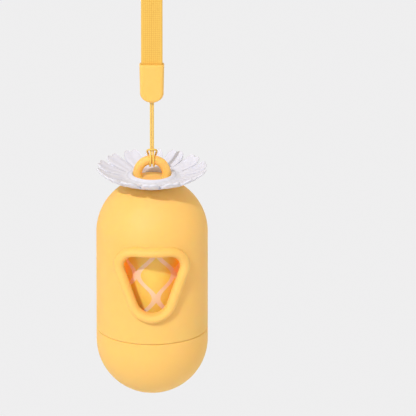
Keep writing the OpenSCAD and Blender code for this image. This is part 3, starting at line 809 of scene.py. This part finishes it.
def hub_surface():
    """Turned ring: a round bead on top, and inside it a groove that clips
    round the foot of the hanger."""
    out_z = float(under_petal(np.array(hub_out_r)))
    bead = arc((hub_r + bead_r, hub_top_z - bead_r), bead_r, 180, 60, 9)
    profile = np.vstack([
        run((flange_r, SEAT_Z + hub_free), (flat_r, SEAT_Z + hub_free), 4),
        run((flat_r, SEAT_Z + hub_free), (hub_out_r, out_z - 0.15), 4),
        run((hub_out_r, out_z - 0.15), (hub_out_r, hub_top_z - 1.5), 4),
        run((hub_out_r, hub_top_z - 1.5), (hub_r + 1.6, hub_top_z - 0.5), 5),
        bead[::-1],
        run((hub_r, hub_top_z - 0.9), (hub_r, FOOT_Z - hub_free), 6),
        run((hub_r, FOOT_Z - hub_free), (flange_r, FOOT_Z - hub_free), 4),
        run((flange_r, FOOT_Z - hub_free), (flange_r, SEAT_Z + hub_free), 3)])
    return grid(turned(profile, 160), round_u=True, round_v=True)


# Silicone rubber, white: matt and a little milky, with a hint of lilac. Its
# grain is drawn 0.7 mm wide, coarser than it is, over clouds of 8 mm.
silicone, silicone_shader = finish_of("moulded_white_silicone", Roughness=0.6, IOR=1.41, Specular_IOR_Level=0.35,
                                      Subsurface_Weight=0.4, Subsurface_Radius=(1.0, 0.97, 0.97),
                                      Subsurface_Scale=0.0012)
moulded(silicone, silicone_shader, {"Scale": 120, "Detail": 4}, ("#D9DDED", "#E1E4F2"),
        {"Scale": 1500, "Detail": 3}, {"Strength": 0.25, "Distance": 0.00005})

flower = piece("silicone_flower", [petal_surface(), hub_surface()], silicone, "collar", sharp=60)
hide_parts("flower_collar")

# Bottom cup
# Round cup under the seam. Its thin plug goes up into the shell, with a
# groove for the friction ring, and it takes the roll along when it is pulled.
seam_gap = 0.16
SHOULDER_Z = SEAM_Z - seam_gap
plug_out_r = PLUG_R - 0.05
RING_Z = SEAM_Z + 4
groove_half = 0.45
groove_deep = 0.55
cup_profile = np.vstack([
    [(0, -DOME_Z - BORE_R)], arc((0, -DOME_Z), BORE_R, -90, 0, 60)[1:],
    run((BORE_R, -DOME_Z + 0.5), (BORE_R, PLUG_TOP_Z - 0.5), 12),
    arc((BORE_R + 0.4, PLUG_TOP_Z - 0.5), 0.4, 180, 90, 5),
    arc((plug_out_r - 0.5, PLUG_TOP_Z - 0.6), 0.5, 90, 0, 5),
    run((plug_out_r, PLUG_TOP_Z - 0.8), (plug_out_r, RING_Z + groove_half), 4),
    run((plug_out_r, RING_Z + groove_half), (plug_out_r - groove_deep, RING_Z + groove_half), 2),
    run((plug_out_r - groove_deep, RING_Z + groove_half), (plug_out_r - groove_deep, RING_Z - groove_half), 3),
    run((plug_out_r - groove_deep, RING_Z - groove_half), (plug_out_r, RING_Z - groove_half), 2),
    run((plug_out_r, RING_Z - groove_half), (plug_out_r, SHOULDER_Z), 6),
    run((plug_out_r, SHOULDER_Z), (SHELL_R - seam_edge, SHOULDER_Z), 3),
    arc((SHELL_R - seam_edge, SHOULDER_Z - seam_edge), seam_edge, 90, 0, 6),
    run((SHELL_R, SHOULDER_Z - seam_edge - 0.3), (SHELL_R, -DOME_Z), 8),
    arc((0, -DOME_Z), SHELL_R, 0, -90, 70)])
cup_profile[-1, 0] = 0
cup = piece("capsule_cup", [grid(turned(cup_profile, 240), round_v=True)], soft_touch, "cup",
            sharp=40)
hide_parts("bottom_cup")

# Friction ring
# A soft ring in the plug's groove, which holds the cup in the shell. It has a
# plain section that the model already has.

# Moulded nitrile rubber: dark grey and matt, with a faint bloom in clouds of
# 2.5 mm
nitrile, nitrile_shader = finish_of("moulded_nitrile_rubber", Roughness=0.65, IOR=1.52)
moulded(nitrile, nitrile_shader, {"Scale": 400, "Detail": 4}, ("#505052", "#66666A"))
frame["nodes"]["friction_ring"].data.materials.clear()
frame["nodes"]["friction_ring"].data.materials.append(nitrile)

# Roll of bags
# Printed film wound flat without a core, so the hole in the middle is squashed
# into a slot. The free edge makes a small step along the roll.
roll_r = 15.0
roll_h = 60.0
ROLL_Z = -DOME_Z - math.sqrt(BORE_R ** 2 - roll_r ** 2) + 0.3
roll_turn = 2.4
roll_end_edge = 0.3
core_half_w = 4.0
core_half_t = 2.25
film_step = 0.25
wind_pitch = 0.55
wind_deep = 0.13
crease_deep = 0.03


def roll_surface():
    """At each angle the section is a tall rectangle from the core out to the
    roll's radius, which grows by one step in a turn. Its ends rise and fall
    as a sine of the radius, shifted by the angle, so the windings spiral."""
    a = np.linspace(0, 2 * np.pi, 241)[:, None]
    a[-1] -= 1e-4
    wave = 0.045 * np.sin(3 * a + 0.4) + 0.03 * np.sin(7 * a + 2)
    out_r = roll_r - film_step * (1 - a / (2 * np.pi)) - 0.07 + wave
    core_r = core_half_w * core_half_t / np.hypot(core_half_t * np.cos(a), core_half_w * np.sin(a))
    ends = np.linspace(0, 1, 74)[None, :]
    end_r = out_r - 0.12 + (core_r - out_r + 0.24) * ends
    ridge = wind_deep * np.cos(2 * np.pi * (end_r / wind_pitch - a / (2 * np.pi))) - wind_deep - 0.01
    edge = np.linspace(0, 1, 60)[None, :]
    crease = crease_deep * np.sin(2 * np.pi * edge * 3 + 2 * a) * np.sin(5 * a)
    outside = np.stack(np.broadcast_arrays(out_r + crease - 0.02,
                                            roll_end_edge + (roll_h - 2 * roll_end_edge) * edge), -1)
    top = np.stack([end_r, roll_h + ridge], -1)
    inside = np.stack(np.broadcast_arrays(core_r + 0.02, roll_h - roll_end_edge
                                           - (roll_h - 2 * roll_end_edge) * edge[:, ::5]), -1)
    bottom = np.stack([end_r, -ridge], -1)[:, ::-1]
    section = np.concatenate([outside, top, inside, bottom], 1)
    r, z = section[..., 0], section[..., 1] + ROLL_Z
    return grid(np.stack([r * np.sin(a + roll_turn), -r * np.cos(a + roll_turn), z], -1), round_u=True, round_v=True)


# Polythene film, printed: golden, glossy and a little crinkled, with a pale
# peach lattice of ogee bands 2.2 mm wide, over crinkles of 2 mm and clouds of
# 4 mm. UV is in mm: round the roll, and then up from its lower edge.
film, film_shader = finish_of("printed_polythene_film", Roughness=0.34, IOR=1.51, Subsurface_Weight=0.6,
                              Subsurface_Radius=(1.0, 0.35, 0.08), Subsurface_Scale=0.003)
film_uv = add(film, "ShaderNodeUVMap", uv_map="surface")
film_axes = add(film, "ShaderNodeSeparateXYZ", {"Vector": film_uv.outputs["UV"]})
ogee_h = 19.0
ogee_w = 2 * math.pi * roll_r / 12
band_swing = 0.42
band_soft = 0.08
band_w = 2.2
swing = add(film, "ShaderNodeMath", {0: film_axes.outputs["Y"]}, {1: 2 * math.pi / ogee_h}, operation="MULTIPLY")
swing = add(film, "ShaderNodeMath", {0: swing.outputs[0]}, operation="SINE")
bands = []
for way in (-1, 1):
    shifted = add(film, "ShaderNodeMath", {0: swing.outputs[0], 2: film_axes.outputs["X"]},
                  {1: way * band_swing * ogee_w}, operation="MULTIPLY_ADD")
    placed = add(film, "ShaderNodeMath", {0: shifted.outputs[0]}, {1: (1 + way) / 2 * ogee_w}, operation="ADD")
    bands.append(add(film, "ShaderNodeMath", {0: placed.outputs[0]}, {1: ogee_w}, operation="PINGPONG"))
nearest = add(film, "ShaderNodeMath", {0: bands[0].outputs[0], 1: bands[1].outputs[0]}, operation="MINIMUM")
ink = add(film, "ShaderNodeMapRange", {"Value": nearest.outputs[0]},
          {"From Min": band_w / 2 + band_soft, "From Max": band_w / 2 - band_soft})
film_cloud = add(film, "ShaderNodeTexNoise", {"Vector": film_uv.outputs["UV"]}, {"Scale": 0.25, "Detail": 3})
film_tint = add(film, "ShaderNodeMix", {0: film_cloud.outputs["Fac"]},
                {6: hex_colour("#FFD360"), 7: hex_colour("#FFDB72")}, data_type="RGBA")
film_colour = add(film, "ShaderNodeMix", {0: ink.outputs["Result"], 6: film_tint.outputs[2]},
                  {7: hex_colour("#FFDEC0")}, data_type="RGBA")
film.node_tree.links.new(film_colour.outputs[2], film_shader.inputs["Base Color"])
film_crinkle = add(film, "ShaderNodeTexNoise", {"Vector": film_uv.outputs["UV"]},
                   {"Scale": 0.5, "Detail": 4, "Roughness": 0.6, "Distortion": 1.0})
film_bump = add(film, "ShaderNodeBump", {"Height": film_crinkle.outputs["Fac"]},
                {"Strength": 0.35, "Distance": 0.0004})
film.node_tree.links.new(film_bump.outputs["Normal"], film_shader.inputs["Normal"])

roll = piece("film_roll", [roll_surface()], film, "refill")
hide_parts("bag_roll")

# Floor and light
# Pale studio paper under the holder, one key light from the front left, high
# up, with crisp shadows, and an even sky and a faint light that fill them.
floor_z = -0.56
floor_half = 6
floor_mesh = bpy.data.meshes.new("floor")
floor_mesh.from_pydata([(x * floor_half, y * floor_half, floor_z) for x, y in ((-1, -1), (1, -1), (1, 1), (-1, 1))],
                       [], [(0, 1, 2, 3)])
floor = bpy.data.objects.new("floor", floor_mesh)
bpy.context.scene.collection.objects.link(floor)

# Matt paper, whose colour the camera sees almost unshaded
paper, paper_shader = finish_of("matt_studio_paper", Roughness=0.9, Base_Color=hex_colour("#E6EBF2"))
seen = add(paper, "ShaderNodeLightPath")
shown = add(paper, "ShaderNodeEmission", values={"Color": hex_colour("#EFEFF0"), "Strength": 1})
share = add(paper, "ShaderNodeMath", {0: seen.outputs["Is Camera Ray"]}, {1: 0.85}, operation="MULTIPLY")
both = add(paper, "ShaderNodeMixShader", {0: share.outputs[0], 1: paper_shader.outputs[0], 2: shown.outputs[0]})
paper.node_tree.links.new(both.outputs[0], paper.node_tree.nodes["Material Output"].inputs["Surface"])
floor_mesh.materials.append(paper)

sky = bpy.data.worlds.new("sky")
bpy.context.scene.world = sky
sky.use_nodes = True
sky_light = sky.node_tree.nodes["Background"]
sky_light.inputs["Color"].default_value = hex_colour("#FFF3E3")
sky_light.inputs["Strength"].default_value = 0.7

# The camera sees the sky in the paper's colour, so that no horizon shows
sky_seen = add(sky, "ShaderNodeLightPath")
sky_shown = add(sky, "ShaderNodeBackground", values={"Color": hex_colour("#EFEFF0"), "Strength": 1})
sky_both = add(sky, "ShaderNodeMixShader", {0: sky_seen.outputs["Is Camera Ray"], 1: sky_light.outputs[0],
                                            2: sky_shown.outputs[0]})
sky.node_tree.links.new(sky_both.outputs[0], sky.node_tree.nodes["World Output"].inputs["Surface"])

key = bpy.data.objects.new("key_light", bpy.data.lights.new("key_light", "SUN"))
bpy.context.scene.collection.objects.link(key)
key.data.energy = 1.75
key.data.color = (1.0, 0.99, 1.0)
key.data.angle = math.radians(1.0)
key.rotation_euler = Vector((0.55, 1, -1.0)).to_track_quat("-Z", "Y").to_euler()
fill = bpy.data.objects.new("fill_light", bpy.data.lights.new("fill_light", "SUN"))
bpy.context.scene.collection.objects.link(fill)
fill.data.energy = 0.08
fill.data.angle = math.radians(60)
fill.rotation_euler = Vector((-0.8, 0.5, -0.4)).to_track_quat("-Z", "Y").to_euler()

# The capsule's wall lets a little warm light through to the roll. Two faint
# upright strips in the gap beside the roll stand in for it, and move with it.
strip_w = 0.002
strip_h = 0.026
strip_z = (9 - CAPSULE_MIDDLE) / 1000
strip_r = 0.0185
strip_turn = math.radians(62)
lit_x = 0.004
lit_y = -0.013
for side in (-1, 1):
    through_wall = bpy.data.objects.new("wall_light", bpy.data.lights.new("wall_light", "AREA"))
    bpy.context.scene.collection.objects.link(through_wall)
    through_wall.data.shape = "RECTANGLE"
    through_wall.data.size = strip_w
    through_wall.data.size_y = strip_h
    through_wall.data.energy = 0.0006
    through_wall.data.color = hex_colour("#FFA53A")[:3]
    through_wall.visible_camera = False
    across = Vector((side * math.sin(strip_turn), -math.cos(strip_turn), 0))
    through_wall.location = strip_r * across + Vector((0, 0, strip_z))
    aim = Vector((side * lit_x, lit_y, 0)) - strip_r * across
    through_wall.rotation_euler = aim.to_track_quat("-Z", "Y").to_euler()
    through_wall.parent = frame["bodies"]["holder"]
    through_wall.matrix_parent_inverse = frame["bodies"]["holder"].matrix_world.inverted()

bpy.context.scene.view_settings.view_transform = "Standard"
